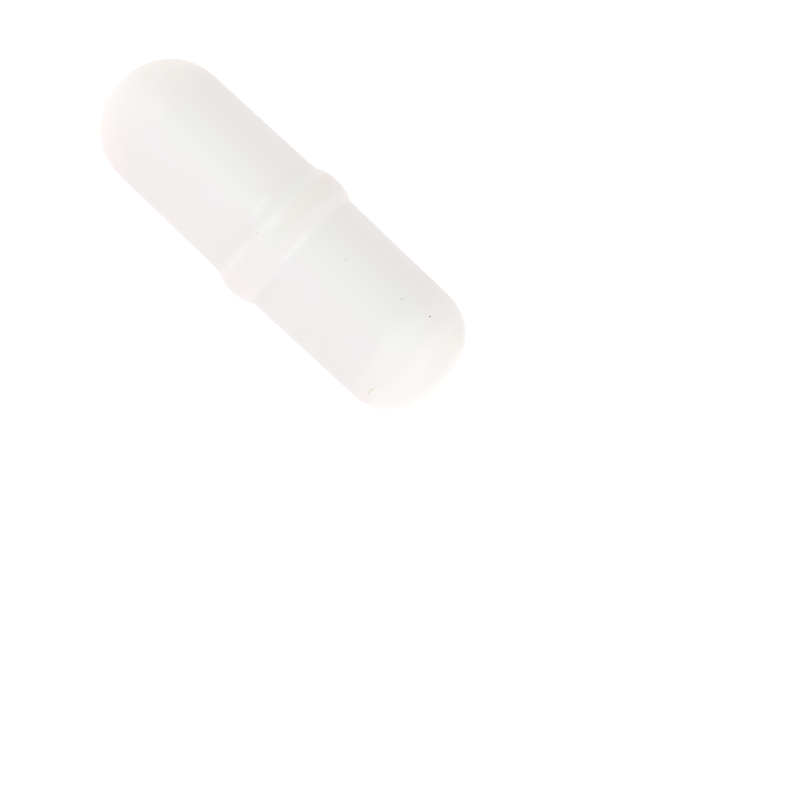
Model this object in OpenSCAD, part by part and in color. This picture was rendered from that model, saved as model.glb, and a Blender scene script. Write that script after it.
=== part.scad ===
// Magnetic stir bar with a pivot ring: a rod magnet sealed inside one moulded PTFE jacket.
// The bar lies along X and its origin is the middle of the pivot ring. End A, the rounder
// end, points to -X and end B, the blunter one, to +X. Lengths are in millimetres and
// angles in degrees.

/* [Bar] */
// Length from tip to tip
bar_len = 25; // [22:0.5:40]
// Distance of the pivot ring from the middle of the length, towards end B
ring_shift = 0.26; // [-2:0.02:2]
// Diameter of the jacket beside the pivot ring
body_d = 8; // [6.5:0.1:12]
// Draft of the mould, by which the jacket narrows from the ring to each end
draft = 0.6; // [0:0.1:3]

/* [Rounded ends] */
// Depth of end A, from where the rounding starts to the tip
end_a_depth = 3.7; // [1.5:0.1:6]
// Fullness of end A: 2 rounds it as an ellipse, and more makes its shoulder squarer
end_a_fullness = 2.05; // [1.8:0.05:4]
// Depth of end B, from where the rounding starts to the tip
end_b_depth = 3.5; // [1.5:0.1:6]
// Fullness of end B: 2 rounds it as an ellipse, and more makes its shoulder squarer
end_b_fullness = 2.4; // [1.8:0.05:4]

/* [Pivot ring] */
// Height of the ring's crest above the jacket
ring_h = 0.35; // [0.1:0.05:1]
// Width of the straight land along the crest
ring_land = 0.3; // [0.1:0.05:2]
// Slope of the flank towards end A, between its two roundings
slope_a = 20; // [10:1:45]
// Radius that rounds the crest's edge towards end A
crest_a_r = 1.9; // [0.2:0.1:4]
// Fillet where that flank runs out into the jacket, a soft one
root_a_r = 2.5; // [0.2:0.1:4]
// Slope of the flank towards end B, between its two roundings
slope_b = 25; // [10:1:45]
// Radius that rounds the crest's edge towards end B, so that the flank steepens to its foot
crest_b_r = 2.4; // [0.2:0.1:4]
// Fillet where that flank meets the jacket, a tight one
root_b_r = 0.3; // [0.1:0.1:3]

/* [Magnet] */
// Length of the rod magnet
magnet_len = 18.5; // [10:0.5:20]
// Diameter of the rod magnet
magnet_d = 5; // [2:0.1:6]
// Chamfer ground on each edge of the magnet
magnet_chamfer = 0.3; // [0.1:0.05:0.8]
// Gap all round the magnet in its sealed pocket
pocket_gap = 0.02; // [0.01:0.01:0.1]

/* [Smoothness] */
// Straight steps that draw the rounding of each end
end_steps = 28; // [12:2:60]
// Straight steps that draw each rounded edge of the ring
edge_steps = 8; // [3:1:16]

/* [Hidden] */
$fn = 96;

body_r = body_d / 2;
ring_r = body_r + ring_h;
// Each rounding takes a bite off its flank. Where a flank is too short for both of its
// roundings, they shrink by the same share until a straight part is left between them.
share_a = flank_share(slope_a, crest_a_r, root_a_r);
share_b = flank_share(slope_b, crest_b_r, root_b_r);
crest_a_bite = share_a * crest_a_r * tan(slope_a / 2);
crest_b_bite = share_b * crest_b_r * tan(slope_b / 2);
root_a_bite = share_a * root_a_r * tan((slope_a - draft) / 2);
root_b_bite = share_b * root_b_r * tan((slope_b - draft) / 2);
// The crest's corners and the ring's feet, each at its place along X
corner_a_x = -ring_land / 2 - crest_a_bite;
corner_b_x = ring_land / 2 + crest_b_bite;
foot_a_x = corner_a_x - ring_h / tan(slope_a);
foot_b_x = corner_b_x + ring_h / tan(slope_b);
// The middle of the bar, its tips, and the planes where its ends start to round
middle_x = -ring_shift;
tip_a_x = middle_x - bar_len / 2;
tip_b_x = middle_x + bar_len / 2;
base_a_x = tip_a_x + end_a_depth;
base_b_x = tip_b_x - end_b_depth;
base_a_r = drafted_r(base_a_x);
base_b_r = drafted_r(base_b_x);

// Share of its two roundings that a flank has room for, so that 5% of it stays straight
function flank_share(slope, crest_r, root_r) =
    let (wanted = crest_r * tan(slope / 2) + root_r * tan((slope - draft) / 2))
    min(1, 0.95 * ring_h / sin(slope) / wanted);

// Radius of the jacket at x, where the draft narrows it
function drafted_r(x) = body_r - max(foot_a_x - x, x - foot_b_x) * tan(draft);

// Points [distance past the base, radius] along an end, from its base to its tip
function end_curve(depth, radius, fullness) = [
    for (i = [0 : end_steps])
        let (turn = 90 * i / end_steps)
        [depth * pow(sin(turn), 2 / fullness), radius * pow(cos(turn), 2 / fullness)]
];

// Points of the arc that rounds the corner at b, on the way from a to c, and takes a bite
// of that length off each side
function rounded_corner(a, b, c, bite) =
    let (
        back = (a - b) / norm(a - b),
        ahead = (c - b) / norm(c - b),
        half = acos(back * ahead) / 2,
        centre = b + (back + ahead) / norm(back + ahead) * bite / cos(half),
        start = b + back * bite - centre,
        left_turn = back.x * ahead.y - back.y * ahead.x < 0,
        turn = (left_turn ? 1 : -1) * (180 - 2 * half)
    )
    [for (i = [0 : edge_steps]) centre + turned_by(start, turn * i / edge_steps)];

function turned_by(v, angle) = [
    v.x * cos(angle) - v.y * sin(angle),
    v.x * sin(angle) + v.y * cos(angle)
];

// Outline of the ring as points [x, radius], from the jacket at end A to that at end B
function ring_curve() =
    let (
        base_a = [base_a_x, base_a_r],
        foot_a = [foot_a_x, body_r],
        corner_a = [corner_a_x, ring_r],
        corner_b = [corner_b_x, ring_r],
        foot_b = [foot_b_x, body_r],
        base_b = [base_b_x, base_b_r]
    )
    concat(
        rounded_corner(base_a, foot_a, corner_a, root_a_bite),
        rounded_corner(foot_a, corner_a, corner_b, crest_a_bite),
        rounded_corner(corner_a, corner_b, foot_b, crest_b_bite),
        rounded_corner(corner_b, foot_b, base_b, root_b_bite)
    );

// Outline of the whole jacket as points [x, radius], from tip A to tip B
function jacket_curve() =
    let (
        end_a = end_curve(end_a_depth, base_a_r, end_a_fullness),
        end_b = end_curve(end_b_depth, base_b_r, end_b_fullness)
    )
    concat(
        [for (i = [end_steps : -1 : 0]) [base_a_x - end_a[i].x, end_a[i].y]],
        ring_curve(),
        [for (p = end_b) [base_b_x + p.x, p.y]]
    );

// Turns an outline of points [x, radius] about the X axis
module turned(curve) {
    rotate([0, 90, 0])
        rotate_extrude()
            polygon([for (p = curve) [p.y, p.x]]);
}

// The magnet's shape with the same allowance added all over, for the magnet and its pocket
module magnet_shape(allowance) {
    half = magnet_len / 2 + allowance;
    radius = magnet_d / 2 + allowance;
    translate([middle_x, 0, 0])
        turned([
            [-half, 0],
            [-half, radius - magnet_chamfer],
            [-half + magnet_chamfer, radius],
            [half - magnet_chamfer, radius],
            [half, radius - magnet_chamfer],
            [half, 0]
        ]);
}

// Jacket of PTFE, moulded round the magnet and sintered into one piece with no seam
module ptfe_jacket() {
    color([0.95, 0.95, 0.93])
        difference() {
            turned(jacket_curve());
            magnet_shape(pocket_gap);
        }
}

// Rod magnet of cast alnico, which the stirrer's field turns
module bar_magnet() {
    color([0.36, 0.37, 0.39])
        magnet_shape(0);
}

ptfe_jacket();
bar_magnet();
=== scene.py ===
"""A magnetic stir bar: a moulded PTFE jacket with a pivot ring round a sealed rod magnet.

Blender works in metres. The bar lies along X with the middle of its pivot ring at the origin,
end A, the rounder one, towards -X and end B, the blunter one, towards +X.
"""

import math

import bmesh
import bpy
from mathutils import Matrix, Vector


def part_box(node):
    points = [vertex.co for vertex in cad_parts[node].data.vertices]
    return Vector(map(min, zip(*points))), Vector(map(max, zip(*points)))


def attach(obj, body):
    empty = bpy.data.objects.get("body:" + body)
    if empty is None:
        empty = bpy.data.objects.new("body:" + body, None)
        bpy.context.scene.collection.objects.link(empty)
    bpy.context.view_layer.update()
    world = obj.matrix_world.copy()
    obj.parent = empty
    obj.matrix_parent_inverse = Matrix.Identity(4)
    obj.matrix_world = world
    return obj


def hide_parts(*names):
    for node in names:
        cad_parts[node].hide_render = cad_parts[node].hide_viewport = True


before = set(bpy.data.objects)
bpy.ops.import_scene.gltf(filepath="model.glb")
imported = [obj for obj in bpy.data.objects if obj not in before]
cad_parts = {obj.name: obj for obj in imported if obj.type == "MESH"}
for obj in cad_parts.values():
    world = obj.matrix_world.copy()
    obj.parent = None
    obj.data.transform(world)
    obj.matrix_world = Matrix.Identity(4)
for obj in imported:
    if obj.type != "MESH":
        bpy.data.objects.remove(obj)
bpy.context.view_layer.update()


# ---------------------------------------------------------------------------------------------
# Camera. A long macro lens looks almost straight down on the bar, whose axis runs from the
# upper left of the picture to the lower right, above and to the left of the middle.
# ---------------------------------------------------------------------------------------------

MM = 0.001
PICTURE_PX = 800
ORIGIN_PX = (284.1, 235.6)
PX_PER_MM = 17.67
CAMERA_AZIMUTH = math.radians(43.2)
CAMERA_ELEVATION = math.radians(86.8)
LENS_MM = 135
SENSOR_MM = 36
NEAREST_SEEN = 10 * MM


def aim_camera():
    """Places the camera so that the origin falls on ORIGIN_PX at the scale PX_PER_MM."""
    back = Vector((
        math.sin(CAMERA_AZIMUTH) * math.cos(CAMERA_ELEVATION),
        -math.cos(CAMERA_AZIMUTH) * math.cos(CAMERA_ELEVATION),
        math.sin(CAMERA_ELEVATION),
    ))
    right = Vector((math.cos(CAMERA_AZIMUTH), math.sin(CAMERA_AZIMUTH), 0))
    up = back.cross(right)
    across = (PICTURE_PX / 2 - ORIGIN_PX[0]) / PX_PER_MM * MM
    down = (PICTURE_PX / 2 - ORIGIN_PX[1]) / PX_PER_MM * MM
    distance = PICTURE_PX / PX_PER_MM * MM * LENS_MM / SENSOR_MM
    data = bpy.data.cameras.new("camera")
    data.lens = LENS_MM
    data.sensor_width = SENSOR_MM
    data.clip_start = NEAREST_SEEN
    camera = bpy.data.objects.new("camera", data)
    bpy.context.scene.collection.objects.link(camera)
    axes = Matrix((right, up, back)).transposed().to_4x4()
    camera.matrix_world = Matrix.Translation(right * across - up * down + back * distance) @ axes
    bpy.context.scene.camera = camera


aim_camera()


# ---------------------------------------------------------------------------------------------
# Jacket. One piece of white PTFE, pressed and sintered round the magnet with no seam. It is a
# lathe shape: two rounded ends, a lightly drafted body, the pivot ring with a soft flank to
# end A and one to end B that steepens to its foot, and the sealed pocket for the magnet.
# ---------------------------------------------------------------------------------------------

jacket_low, jacket_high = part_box("ptfe_jacket")
TIP_A = jacket_low.x
TIP_B = jacket_high.x
RING_R = jacket_high.z
RING_H = 0.35 * MM
BODY_R = RING_R - RING_H
DRAFT = math.radians(0.6)
END_A_DEPTH = 3.7 * MM
END_A_FULLNESS = 2.05
END_B_DEPTH = 3.5 * MM
END_B_FULLNESS = 2.4
RING_LAND = 0.3 * MM
SLOPE_A = math.radians(20)
CREST_A_R = 1.9 * MM
ROOT_A_R = 2.5 * MM
SLOPE_B = math.radians(25)
CREST_B_R = 2.4 * MM
ROOT_B_R = 0.3 * MM
POCKET_GAP = 0.02 * MM
MAGNET_CHAMFER = 0.3 * MM
ROW_STEP = 0.12 * MM
END_STEPS = 56
EDGE_STEPS = 14
SKIN_STEPS_AROUND = 240
POCKET_STEPS_AROUND = 96
WAVINESS = 0.010 * MM
WAVE_SIZE = 3.2 * MM
WAVE_SEED = 4.0
# points nearer to each other than this, in metres, are merged at the poles and the seam
SAME_POINT = 1e-7
PTFE_IOR = 1.37
# x in mm, then red, green and blue: warm at end A, greyer over the magnet, pale at end B; the
# paler ends are partly their own thicker PTFE and partly a painted broad highlight
BODY_WHITES = (
    (-13.0, 0.888, 0.855, 0.834),
    (-11.4, 0.897, 0.856, 0.826),
    (-10.0, 0.892, 0.860, 0.825),
    (-8.4, 0.860, 0.848, 0.827),
    (7.8, 0.853, 0.844, 0.824),
    (9.6, 0.897, 0.891, 0.856),
    (10.8, 0.939, 0.944, 0.900),
    (12.5, 0.927, 0.943, 0.900),
)
BODY_BORDER_WAVES = 3.5 * MM
BODY_BORDER_REACH = 2.2 * MM
# x in mm, then what the body's red, green and blue are multiplied by on the ring: a paler,
# creamier ring, with painted shade in the hollow at the root of flank A and a painted highlight on
# flank B up to its foot
RING_TINTS_AND_LIGHT = (
    (-2.1, 1.000, 1.000, 1.000),
    (-1.25, 0.985, 0.978, 0.981),
    (-0.8, 1.013, 1.008, 1.008),
    (-0.3, 1.031, 1.020, 1.015),
    (0.4, 1.027, 1.024, 1.010),
    (1.0, 1.041, 1.044, 1.038),
    (1.4, 1.045, 1.053, 1.055),
    (1.5, 0.994, 1.000, 0.999),
    (2.1, 0.998, 1.000, 1.000),
)
RING_BORDER_WAVES = 0.8 * MM
RING_BORDER_REACH = 0.1 * MM
# patches of tint and of painted highlight and shade: x in mm, degrees round the bar from the top
# towards +Y, length and width in mm, tint
SMUDGES_AND_PAINTED_LIGHT = (
    # the duller, creamier ring towards +Y, the brown patch and the duller middle of the ring
    (-0.10, 24, 1.7, 8.6, (0.979, 0.976, 0.954)),
    (-0.22, 64, 0.9, 2.4, (0.990, 0.955, 0.937)),
    (0.20, -8, 1.5, 2.8, (0.976, 0.991, 0.982)),
    # the pale patch at flank A, and painted highlights: two pale streaks along edge A and one
    # along edge B
    (-1.73, 0, 0.5, 1.9, (1.026, 1.036, 1.030)),
    (-0.66, 0, 0.4, 2.0, (1.008, 1.016, 1.010)),
    (-0.70, -48, 0.5, 3.4, (1.036, 1.030, 1.032)),
    (1.32, 0, 0.5, 2.9, (1.022, 1.044, 1.038)),
    # painted shade in the corner under the ring, and painted shade on each end's shoulder towards
    # +Y
    (1.65, -54, 0.9, 2.6, (0.986, 0.981, 0.984)),
    (-12.10, 40, 2.6, 8.0, (0.955, 0.952, 0.940)),
    (11.50, 64, 2.4, 4.0, (0.945, 0.952, 0.948)),
    # a thin dull line along edge A, and a short one along edge B
    (-0.98, 30, 0.42, 8.5, (0.980, 0.984, 0.980)),
    (1.30, 42, 0.35, 2.8, (0.982, 0.984, 0.978)),
)
PATCH_RAGS = 0.7 * MM
# how far out a patch is full and is gone, in its half size plus a noise of about 0.5
PATCH_FULL = 0.7
PATCH_GONE = 1.7
FIRST_PATCH_SEED = 9.0
CLOUD_SIZE = 2.4 * MM
CLOUD_SHARE = 0.05
GLOSS_PATCH = 0.9 * MM
SKIN_SMOOTHEST = 0.38
SKIN_ROUGHNESS_SPREAD = 0.10
GRAIN_SIZE = 0.12 * MM
GRAIN_DEPTH = 0.004 * MM
GRAIN_STRENGTH = 0.25


def rounded_corner(a, b, c, radius):
    """Points of the arc of that radius round corner b, on the way from a to c."""
    back = (a - b).normalized()
    ahead = (c - b).normalized()
    half = back.angle(ahead) / 2
    centre = b + (back + ahead).normalized() * radius / math.sin(half)
    start = b + back * radius / math.tan(half) - centre
    side = 1 if back.x * ahead.y - back.y * ahead.x < 0 else -1
    turn = side * (math.pi - 2 * half)
    return [
        centre + Matrix.Rotation(turn * i / EDGE_STEPS, 2) @ start
        for i in range(EDGE_STEPS + 1)
    ]


def end_curve(base, tip, radius, fullness):
    """Points (x, radius) along an end, from its base to its tip."""
    points = []
    for i in range(END_STEPS):
        turn = math.pi / 2 * i / END_STEPS
        along = math.sin(turn) ** (2 / fullness)
        points.append(Vector((
            base + (tip - base) * along,
            radius * math.cos(turn) ** (2 / fullness),
        )))
    return points + [Vector((tip, 0))]


def jacket_outline():
    """Points (x, radius) of the jacket's outside, from tip A to tip B, in short steps."""
    corner_a = Vector((-RING_LAND / 2 - CREST_A_R * math.tan(SLOPE_A / 2), RING_R))
    corner_b = Vector((RING_LAND / 2 + CREST_B_R * math.tan(SLOPE_B / 2), RING_R))
    foot_a = Vector((corner_a.x - RING_H / math.tan(SLOPE_A), BODY_R))
    foot_b = Vector((corner_b.x + RING_H / math.tan(SLOPE_B), BODY_R))
    base_a = Vector((TIP_A + END_A_DEPTH, 0))
    base_b = Vector((TIP_B - END_B_DEPTH, 0))
    base_a.y = BODY_R - (foot_a.x - base_a.x) * math.tan(DRAFT)
    base_b.y = BODY_R - (base_b.x - foot_b.x) * math.tan(DRAFT)
    corners = end_curve(base_a.x, TIP_A, base_a.y, END_A_FULLNESS)[::-1]
    corners += rounded_corner(base_a, foot_a, corner_a, ROOT_A_R)
    corners += rounded_corner(foot_a, corner_a, corner_b, CREST_A_R)
    corners += rounded_corner(corner_a, corner_b, foot_b, CREST_B_R)
    corners += rounded_corner(corner_b, foot_b, base_b, ROOT_B_R)
    corners += end_curve(base_b.x, TIP_B, base_b.y, END_B_FULLNESS)
    outline = [corners[0]]
    for a, b in zip(corners, corners[1:]):
        parts = max(1, math.ceil((b - a).length / ROW_STEP))
        outline += [a.lerp(b, (i + 1) / parts) for i in range(parts)]
    return outline


def pocket_outline():
    """Points (x, radius) of the pocket, from its end B to its end A, so that it faces inwards."""
    low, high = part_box("bar_magnet")
    start = low.x - POCKET_GAP
    stop = high.x + POCKET_GAP
    radius = high.z + POCKET_GAP
    return [
        Vector((stop, 0)),
        Vector((stop, radius - MAGNET_CHAMFER)),
        Vector((stop - MAGNET_CHAMFER, radius)),
        Vector((start + MAGNET_CHAMFER, radius)),
        Vector((start, radius - MAGNET_CHAMFER)),
        Vector((start, 0)),
    ]


def add_node(tree, kind, inputs=None, **settings):
    """A new node of that kind, with its properties set and its inputs filled or linked."""
    node = tree.nodes.new(kind)
    for name, value in settings.items():
        setattr(node, name, value)
    for name, value in (inputs or {}).items():
        if isinstance(value, bpy.types.NodeSocket):
            tree.links.new(value, node.inputs[name])
        else:
            node.inputs[name].default_value = value
    return node


def maths(tree, operation, *values):
    """The output of a Math node on one to three numbers or sockets."""
    node = add_node(tree, "ShaderNodeMath", dict(enumerate(values)), operation=operation)
    return node.outputs[0]


def new_tree(name, sockets):
    """A Geometry Nodes tree with those inputs, and the sockets of its Group Input node."""
    tree = bpy.data.node_groups.new(name, "GeometryNodeTree")
    for label, kind in sockets.items():
        tree.interface.new_socket(name=label, in_out="INPUT", socket_type="NodeSocket" + kind)
    tree.interface.new_socket(name="Made", in_out="OUTPUT", socket_type="NodeSocketGeometry")
    return tree, add_node(tree, "NodeGroupInput").outputs


def finish_tree(tree, geometry, material):
    """Ends the tree in Realize Instances and Set Material."""
    real = add_node(tree, "GeometryNodeRealizeInstances", {"Geometry": geometry})
    coated = add_node(
        tree, "GeometryNodeSetMaterial", {"Geometry": real.outputs[0], "Material": material}
    )
    add_node(tree, "NodeGroupOutput", {"Made": coated.outputs[0]})


def lathe_tree():
    """Turns an outline, drawn as points (x, 0, radius), about the X axis into a closed skin."""
    tree, given = new_tree("lathe", {
        "Outline": "Geometry",
        "Steps around": "Int",
        "Body radius": "Float",
        "Waviness": "Float",
        "Wave size": "Float",
        "Seed": "Float",
        "Material": "Material",
    })
    size = add_node(tree, "GeometryNodeAttributeDomainSize", {"Geometry": given["Outline"]})
    rows = size.outputs["Point Count"]
    grid = add_node(tree, "GeometryNodeMeshGrid", {
        "Size X": 1.0,
        "Size Y": 1.0,
        "Vertices X": rows,
        "Vertices Y": maths(tree, "ADD", given["Steps around"], 1),
    })
    position = add_node(tree, "GeometryNodeInputPosition").outputs[0]
    # the grid runs from -0.5 to 0.5 both ways
    flat = add_node(tree, "ShaderNodeSeparateXYZ", {0: position}).outputs
    last_row = maths(tree, "SUBTRACT", rows, 1)
    row = maths(tree, "ROUND", maths(tree, "MULTIPLY", maths(tree, "ADD", flat[0], 0.5), last_row))
    angle = maths(tree, "MULTIPLY", maths(tree, "ADD", flat[1], 0.5), math.tau)
    drawn = add_node(tree, "GeometryNodeSampleIndex", {
        "Geometry": given["Outline"],
        "Index": row,
    }, data_type="FLOAT_VECTOR")
    tree.links.new(position, drawn.inputs["Value"])
    point = add_node(tree, "ShaderNodeSeparateXYZ", {0: drawn.outputs["Value"]}).outputs
    across = maths(tree, "SINE", angle)
    upright = maths(tree, "COSINE", angle)

    def turned(radius):
        return add_node(tree, "ShaderNodeCombineXYZ", {
            "X": point["X"],
            "Y": maths(tree, "MULTIPLY", radius, across),
            "Z": maths(tree, "MULTIPLY", radius, upright),
        }).outputs[0]

    wave = add_node(tree, "ShaderNodeTexNoise", {
        "Vector": turned(point["Z"]),
        "W": given["Seed"],
        "Scale": maths(tree, "DIVIDE", 1.0, given["Wave size"]),
        "Detail": 1.0,
    }, noise_dimensions="4D")
    sunk = maths(tree, "MULTIPLY", wave.outputs["Fac"], given["Waviness"])
    depth = maths(tree, "MULTIPLY", sunk, maths(tree, "DIVIDE", point["Z"], given["Body radius"]))
    shaped = add_node(tree, "GeometryNodeSetPosition", {
        "Geometry": grid.outputs["Mesh"],
        "Position": turned(maths(tree, "SUBTRACT", point["Z"], depth)),
    })
    closed = add_node(tree, "GeometryNodeMergeByDistance", {
        "Geometry": shaped.outputs[0],
        "Distance": SAME_POINT,
    })
    smooth = add_node(tree, "GeometryNodeSetShadeSmooth", {"Geometry": closed.outputs[0]})
    finish_tree(tree, smooth.outputs[0], given["Material"])
    return tree


def grown(name, points, tree, values, attributes=None):
    """A plain mesh that the tree grows from those points, with its inputs set by identifier."""
    seeds = bpy.data.meshes.new(name + "_seeds")
    seeds.from_pydata(points, [], [])
    for label, (kind, key, numbers) in (attributes or {}).items():
        seeds.attributes.new(label, kind, "POINT").data.foreach_set(key, numbers)
    carrier = bpy.data.objects.new(name + "_seeds", seeds)
    bpy.context.scene.collection.objects.link(carrier)
    growth = carrier.modifiers.new("growth", "NODES")
    growth.node_group = tree
    for socket in tree.interface.items_tree:
        if socket.in_out == "INPUT" and socket.name in values:
            growth[socket.identifier] = values[socket.name]
    graph = bpy.context.evaluated_depsgraph_get()
    mesh = bpy.data.meshes.new_from_object(carrier.evaluated_get(graph))
    mesh.name = name
    mesh.materials.clear()
    mesh.materials.append(values["Material"])
    mesh.polygons.foreach_set("material_index", [0] * len(mesh.polygons))
    carrier.modifiers.remove(growth)
    bpy.data.objects.remove(carrier)
    return mesh


def placed(name, mesh):
    """An object at the origin that carries the mesh and rides on the bar's one body."""
    piece = bpy.data.objects.new(name, mesh)
    bpy.context.scene.collection.objects.link(piece)
    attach(piece, "root")
    return piece


def new_material(name, plain):
    """A material with those plain values on its shader's sockets, and its tree and shader."""
    material = bpy.data.materials.new(name)
    material.use_nodes = True
    shader = material.node_tree.nodes["Principled BSDF"]
    for socket, value in plain.items():
        shader.inputs[socket].default_value = value
    return material, material.node_tree, shader


def noise(tree, place, feature, seed, detail=2.0):
    """A noise texture whose features are about that many metres across."""
    return add_node(tree, "ShaderNodeTexNoise", {
        "Vector": place,
        "W": seed,
        "Scale": 1 / feature,
        "Detail": detail,
    }, noise_dimensions="4D")


def colours_along(tree, x, stops):
    """A colour that follows x through stops of (millimetres, red, green, blue)."""
    low, high = stops[0][0], stops[-1][0]
    share = add_node(tree, "ShaderNodeMapRange", {
        "Value": x,
        "From Min": low * MM,
        "From Max": high * MM,
    }).outputs[0]
    ramp = add_node(tree, "ShaderNodeValToRGB", {"Fac": share})
    ramp.color_ramp.interpolation = "EASE"
    handles = ramp.color_ramp.elements
    while len(handles) < len(stops):
        handles.new(0.5)
    for handle, stop in zip(handles, stops):
        handle.position = (stop[0] - low) / (high - low)
    for handle, stop in zip(handles, stops):
        handle.color = (*stop[1:], 1)
    return ramp.outputs["Color"]


def mixed(tree, blend, share, a, b):
    """The colour of a Mix node in that blend mode."""
    node = add_node(tree, "ShaderNodeMix", data_type="RGBA", blend_type=blend)
    for name, value in (("Factor_Float", share), ("A_Color", a), ("B_Color", b)):
        socket = next(s for s in node.inputs if s.identifier == name)
        if isinstance(value, bpy.types.NodeSocket):
            tree.links.new(value, socket)
        else:
            socket.default_value = value
    return next(s for s in node.outputs if s.identifier == "Result_Color")


def patch_share(tree, place, x, turn, length, width, seed):
    """How strongly a patch of tint or painted light shows at a point: 1 at its middle, fading out
    over ragged edges.
    """
    middle = (x * MM, BODY_R * math.sin(math.radians(turn)), BODY_R * math.cos(math.radians(turn)))
    away = add_node(tree, "ShaderNodeVectorMath", {0: place, 1: middle}, operation="SUBTRACT")
    shrunk = add_node(tree, "ShaderNodeVectorMath", {
        0: away.outputs[0],
        1: (length / 2 * MM, width / 2 * MM, width / 2 * MM),
    }, operation="DIVIDE")
    reach = add_node(tree, "ShaderNodeVectorMath", {0: shrunk.outputs[0]}, operation="LENGTH")
    ragged = noise(tree, place, PATCH_RAGS, seed).outputs["Fac"]
    edge = maths(tree, "ADD", ragged, reach.outputs["Value"])
    return add_node(tree, "ShaderNodeMapRange", {
        "Value": edge,
        "From Min": PATCH_GONE,
        "From Max": PATCH_FULL,
    }, interpolation_type="SMOOTHSTEP").outputs[0]


def ptfe_material():
    """Satin white PTFE, with the colours along the bar, its patches of tint, painted highlight and
    painted shade, and its fine pressed grain.
    """
    material, tree, shader = new_material("waxy white PTFE", {"IOR": PTFE_IOR})
    place = add_node(tree, "ShaderNodeTexCoord").outputs["Object"]
    x = add_node(tree, "ShaderNodeSeparateXYZ", {0: place}).outputs["X"]

    def wandering(waves, reach, seed):
        wander = maths(tree, "SUBTRACT", noise(tree, place, waves, seed).outputs["Fac"], 0.5)
        return maths(tree, "MULTIPLY_ADD", wander, reach, x)

    body_x = wandering(BODY_BORDER_WAVES, BODY_BORDER_REACH, seed=1.0)
    ring_x = wandering(RING_BORDER_WAVES, RING_BORDER_REACH, seed=2.0)
    # the colours along the bar, whose paler ends are partly a painted broad highlight
    body = colours_along(tree, body_x, BODY_WHITES)
    # the ring's multipliers hold painted shade at the root of flank A and a painted highlight on
    # flank B
    ring = colours_along(tree, ring_x, RING_TINTS_AND_LIGHT)
    white = mixed(tree, "MULTIPLY", 1.0, body, ring)
    # patches of tint, painted highlight and painted shade, multiplied in one by one
    for i, (*spot, tint) in enumerate(SMUDGES_AND_PAINTED_LIGHT):
        share = patch_share(tree, place, *spot, FIRST_PATCH_SEED + i)
        white = mixed(tree, "MULTIPLY", share, white, (*tint, 1))
    cloud = noise(tree, place, CLOUD_SIZE, seed=3.0, detail=1.0).outputs["Color"]
    clouded = mixed(tree, "SOFT_LIGHT", CLOUD_SHARE, white, cloud)
    tree.links.new(clouded, shader.inputs["Base Color"])

    gloss = noise(tree, place, GLOSS_PATCH, seed=4.0, detail=1.0).outputs["Fac"]
    rough = maths(tree, "MULTIPLY_ADD", gloss, SKIN_ROUGHNESS_SPREAD, SKIN_SMOOTHEST)
    tree.links.new(rough, shader.inputs["Roughness"])
    grain = noise(tree, place, GRAIN_SIZE, seed=5.0).outputs["Fac"]
    relief = add_node(tree, "ShaderNodeBump", {
        "Strength": GRAIN_STRENGTH,
        "Distance": GRAIN_DEPTH,
        "Height": grain,
    }).outputs[0]
    tree.links.new(relief, shader.inputs["Normal"])
    return material


lathe = lathe_tree()
ptfe = ptfe_material()
skin = grown("skin", [(p.x, 0, p.y) for p in jacket_outline()], lathe, {
    "Steps around": SKIN_STEPS_AROUND,
    "Body radius": BODY_R,
    "Waviness": WAVINESS,
    "Wave size": WAVE_SIZE,
    "Seed": WAVE_SEED,
    "Material": ptfe,
})
pocket = grown("pocket", [(p.x, 0, p.y) for p in pocket_outline()], lathe, {
    "Steps around": POCKET_STEPS_AROUND,
    "Body radius": BODY_R,
    "Waviness": 0.0,
    "Wave size": WAVE_SIZE,
    "Seed": WAVE_SEED,
    "Material": ptfe,
})
whole = bmesh.new()
whole.from_mesh(skin)
whole.from_mesh(pocket)
whole.to_mesh(skin)
whole.free()
jacket = placed("jacket", skin)
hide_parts("ptfe_jacket")


# ---------------------------------------------------------------------------------------------
# Magnet. A rod of cast alnico with ground, chamfered edges, which the jacket was sintered
# round. It fills the pocket and shows nowhere, apart from the grey that it gives the jacket.
# ---------------------------------------------------------------------------------------------

ALNICO_DARK = (0.27, 0.28, 0.30, 1)
ALNICO_PALE = (0.40, 0.41, 0.43, 1)
MARK_LENGTH = 1.5 * MM
MARK_SQUEEZE = (8, 1, 1)
MARK_SMOOTHEST = 0.35
MARK_ROUGHNESS_SPREAD = 0.3


def alnico_material():
    """Cast alnico: dark grey metal with faint grinding marks round it."""
    material, tree, shader = new_material("ground cast alnico", {"Metallic": 1.0, "IOR": 1.5})
    place = add_node(tree, "ShaderNodeTexCoord").outputs["Object"]
    squeezed = add_node(tree, "ShaderNodeMapping", {"Vector": place, "Scale": MARK_SQUEEZE})
    marks = noise(tree, squeezed.outputs[0], MARK_LENGTH, seed=6.0, detail=6.0).outputs["Fac"]
    grey = mixed(tree, "MIX", marks, ALNICO_DARK, ALNICO_PALE)
    tree.links.new(grey, shader.inputs["Base Color"])
    rough = maths(tree, "MULTIPLY_ADD", marks, MARK_ROUGHNESS_SPREAD, MARK_SMOOTHEST)
    tree.links.new(rough, shader.inputs["Roughness"])
    return material


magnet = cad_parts["bar_magnet"]
magnet.data.materials.clear()
magnet.data.materials.append(alnico_material())


# ---------------------------------------------------------------------------------------------
# Specks. Grains of dirt and rust, a few hundredths of a millimetre thick, that are pressed
# into the jacket's skin. Most are grey, and a brown one near end B is the darkest.
# ---------------------------------------------------------------------------------------------

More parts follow.
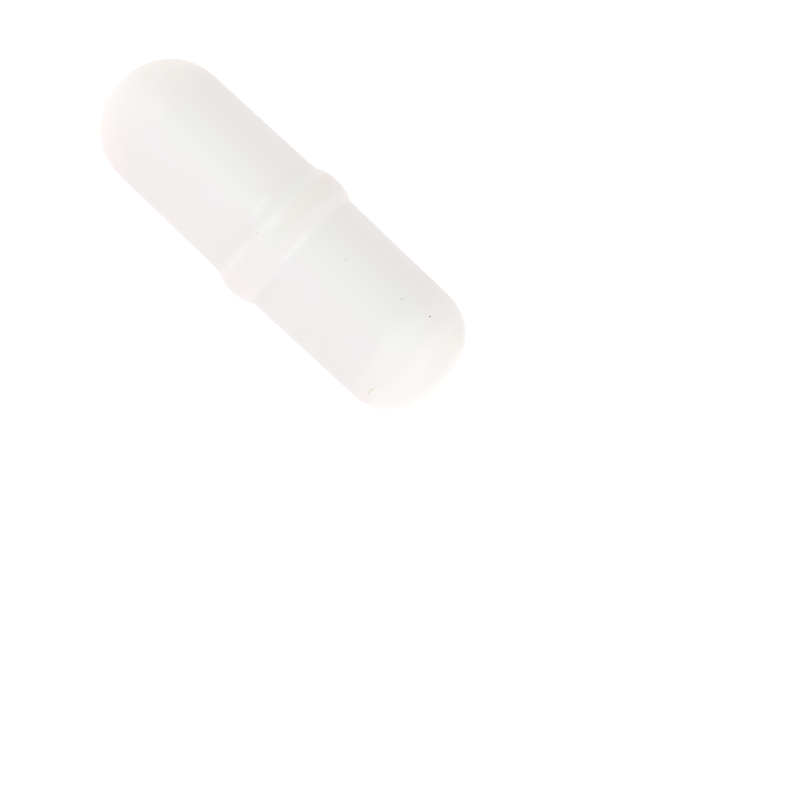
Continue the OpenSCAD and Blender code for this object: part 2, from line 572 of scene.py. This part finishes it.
FAINT_GREY = (0.82, 0.805, 0.77)
PALE_GREY = (0.76, 0.75, 0.73)
PALE_BROWN = (0.76, 0.73, 0.69)
BROWN = (0.71, 0.63, 0.60)
GREY = (0.60, 0.59, 0.57)
DARK_GREY = (0.48, 0.48, 0.47)
DARK_BROWN = (0.43, 0.26, 0.31)
RUST = (0.76, 0.66, 0.46)
PALE_RUST = (0.86, 0.77, 0.60)
# x in mm, degrees round the bar from the top towards +Y, length and width in mm, turn, colour
SPECKS = (
    (-4.22, 9.2, 0.200, 0.046, 45, PALE_GREY),
    (-0.76, -15.5, 0.085, 0.060, 0, GREY),
    (0.42, 25.5, 0.190, 0.042, 45, PALE_BROWN),
    (-0.56, 36.5, 0.190, 0.036, 45, PALE_GREY),
    (-1.09, -4.9, 0.190, 0.180, 20, FAINT_GREY),
    (-0.26, -38.2, 0.150, 0.120, 10, FAINT_GREY),
    (3.76, 17.0, 0.120, 0.065, 45, BROWN),
    (7.50, 25.2, 0.082, 0.062, 15, DARK_GREY),
    (7.60, 27.0, 0.045, 0.035, 0, GREY),
    (9.32, 32.0, 0.120, 0.090, 45, DARK_BROWN),
    (9.73, -51.8, 0.200, 0.080, 80, RUST),
    (9.69, -55.6, 0.280, 0.065, 82, PALE_RUST),
    (9.71, -58.5, 0.120, 0.085, 80, GREY),
)
SPECK_THICKNESS = 0.02 * MM
SPECK_UNEVENNESS = 0.02 * MM
SPECK_LUMPS = 0.035 * MM
SPECK_SEED = 8.0
SPECK_ROUGHNESS = 0.45
MOTTLE_SIZE = 0.03 * MM
MOTTLE_SHARE = 0.5
# each place starts outside the skin, and a ray to the bar's axis finds the skin below it
START_R = 2 * BODY_R
RAY_LENGTH = 100 * MM


def speck_tree():
    """Sets a flat uneven grain into the skin below each point, seen towards the bar's axis."""
    tree, given = new_tree("specks", {
        "Places": "Geometry",
        "Skin": "Object",
        "Thickness": "Float",
        "Unevenness": "Float",
        "Seed": "Float",
        "Material": "Material",
    })
    skin_mesh = add_node(tree, "GeometryNodeObjectInfo", {"Object": given["Skin"]})
    position = add_node(tree, "GeometryNodeInputPosition").outputs[0]
    inwards = add_node(tree, "ShaderNodeVectorMath", {
        0: position,
        1: (0, -1, -1),
    }, operation="MULTIPLY").outputs[0]
    hit = add_node(tree, "GeometryNodeRaycast", {
        "Target Geometry": skin_mesh.outputs["Geometry"],
        "Source Position": position,
        "Ray Direction": inwards,
        "Ray Length": RAY_LENGTH,
    }).outputs
    sunk = add_node(tree, "ShaderNodeVectorMath", {
        0: hit["Hit Position"],
        1: position,
    }, operation="SUBTRACT").outputs[0]

    def stored(name, kind):
        return add_node(
            tree, "GeometryNodeInputNamedAttribute", {"Name": name}, data_type=kind
        ).outputs["Attribute"]

    # one unit across, so that its scale is its size
    grain = add_node(tree, "GeometryNodeMeshIcoSphere", {"Radius": 0.5, "Subdivisions": 3})
    upright = add_node(tree, "FunctionNodeAlignRotationToVector", {
        "Vector": hit["Hit Normal"],
    }, axis="Z")
    turned = add_node(tree, "FunctionNodeRotateRotation", {
        "Rotation": upright.outputs[0],
        "Rotate By": stored("turn", "FLOAT_VECTOR"),
    }, rotation_space="LOCAL")
    size = add_node(tree, "ShaderNodeSeparateXYZ", {0: stored("size", "FLOAT_VECTOR")}).outputs
    scale = add_node(tree, "ShaderNodeCombineXYZ", {
        "X": size["X"],
        "Y": size["Y"],
        "Z": given["Thickness"],
    })
    grains = add_node(tree, "GeometryNodeInstanceOnPoints", {
        "Points": given["Places"],
        "Instance": grain.outputs["Mesh"],
        "Rotation": turned.outputs[0],
        "Scale": scale.outputs[0],
    })
    settled = add_node(tree, "GeometryNodeTranslateInstances", {
        "Instances": grains.outputs[0],
        "Translation": sunk,
        "Local Space": False,
    })
    real = add_node(tree, "GeometryNodeRealizeInstances", {"Geometry": settled.outputs[0]})
    lumps = noise(tree, position, SPECK_LUMPS, given["Seed"], detail=1.0)
    centred = add_node(tree, "ShaderNodeVectorMath", {
        0: lumps.outputs["Color"],
        1: (0.5, 0.5, 0.5),
    }, operation="SUBTRACT").outputs[0]
    push = add_node(tree, "ShaderNodeVectorMath", {
        0: centred,
        "Scale": given["Unevenness"],
    }, operation="SCALE").outputs[0]
    uneven = add_node(tree, "GeometryNodeSetPosition", {
        "Geometry": real.outputs[0],
        "Offset": push,
    })
    finish_tree(tree, uneven.outputs[0], given["Material"])
    return tree


def speck_material():
    """Dull grit that takes each grain's own colour, a little uneven."""
    material, tree, shader = new_material("dark grit", {
        "Roughness": SPECK_ROUGHNESS,
        "IOR": 1.5,
    })
    own = add_node(tree, "ShaderNodeAttribute", attribute_name="tint").outputs["Color"]
    place = add_node(tree, "ShaderNodeTexCoord").outputs["Object"]
    mottle = noise(tree, place, MOTTLE_SIZE, seed=7.0).outputs["Color"]
    mottled = mixed(tree, "SOFT_LIGHT", MOTTLE_SHARE, own, mottle)
    tree.links.new(mottled, shader.inputs["Base Color"])
    return material


places, sizes, turns, tints = [], [], [], []
for x, angle, length, width, turn, tint in SPECKS:
    round_bar = math.radians(angle)
    places.append((x * MM, START_R * math.sin(round_bar), START_R * math.cos(round_bar)))
    sizes += [length * MM, width * MM, 0]
    turns += [0, 0, math.radians(turn)]
    tints += [*tint, 1]
specks = placed("specks", grown("specks", places, speck_tree(), {
    "Skin": jacket,
    "Thickness": SPECK_THICKNESS,
    "Unevenness": SPECK_UNEVENNESS,
    "Seed": SPECK_SEED,
    "Material": speck_material(),
}, {
    "size": ("FLOAT_VECTOR", "vector", sizes),
    "turn": ("FLOAT_VECTOR", "vector", turns),
    "tint": ("FLOAT_COLOR", "color", tints),
}))


# ---------------------------------------------------------------------------------------------
# Studio. A plain white table that the light burns out to pure white, under round soft boxes
# and a pale room. The boxes at the two ends of the bar are the brightest.
# ---------------------------------------------------------------------------------------------

TABLE_HALF = 1.2
TABLE_WHITE = (0.35, 0.35, 0.35, 1)
TABLE_GLOW = (0.90, 0.86, 0.86, 1)
ROOM_GLOW = (0.577, 0.524, 0.534, 1)
BOX_DISTANCE = 0.6
PLAIN = (1.0, 1.0, 1.0)
COOL = (0.80, 1.0, 0.96)
LILAC = (0.94, 0.82, 1.0)
ROSE = (1.0, 0.76, 0.90)
# name, degrees from +X towards +Y, degrees above the table, metres across, watts, tint
BOXES = (
    ("low box at the side", -90, 15, 0.22, 0.07, ROSE),
    ("box at the side", -90, 50, 0.35, 0.35, LILAC),
    ("box over end B", 0, 62, 0.40, 0.18, PLAIN),
    ("low box at end B", 0, 20, 0.30, 0.61, PLAIN),
    ("box over end A", 180, 64, 0.40, 1.38, COOL),
    ("low box at end A", 180, 20, 0.30, 0.21, PLAIN),
)

table_top = bpy.data.meshes.new("table")
table_top.from_pydata(
    [(x * TABLE_HALF, y * TABLE_HALF, -RING_R) for x, y in ((-1, -1), (1, -1), (1, 1), (-1, 1))],
    [],
    [(0, 1, 2, 3)],
)
table = bpy.data.objects.new("table", table_top)
bpy.context.scene.collection.objects.link(table)
table_top.materials.append(new_material("white table", {
    "Base Color": TABLE_WHITE,
    "Roughness": 1.0,
    "Specular IOR Level": 0.0,
    "Emission Color": TABLE_GLOW,
    "Emission Strength": 1.0,
})[0])

for name, azimuth, elevation, across, watts, tint in BOXES:
    lamp = bpy.data.lights.new(name, "AREA")
    lamp.shape = "DISK"
    lamp.size = across
    lamp.energy = watts
    lamp.color = tint
    box = bpy.data.objects.new(name, lamp)
    bpy.context.scene.collection.objects.link(box)
    turn, rise = math.radians(azimuth), math.radians(elevation)
    away = Vector((
        math.cos(turn) * math.cos(rise),
        math.sin(turn) * math.cos(rise),
        math.sin(rise),
    ))
    facing = away.to_track_quat("Z", "Y").to_matrix().to_4x4()
    box.matrix_world = Matrix.Translation(away * BOX_DISTANCE) @ facing

room = bpy.data.worlds.new("studio")
room.use_nodes = True
room.node_tree.nodes["Background"].inputs["Color"].default_value = ROOM_GLOW
bpy.context.scene.world = room
bpy.context.scene.view_settings.view_transform = "Standard"
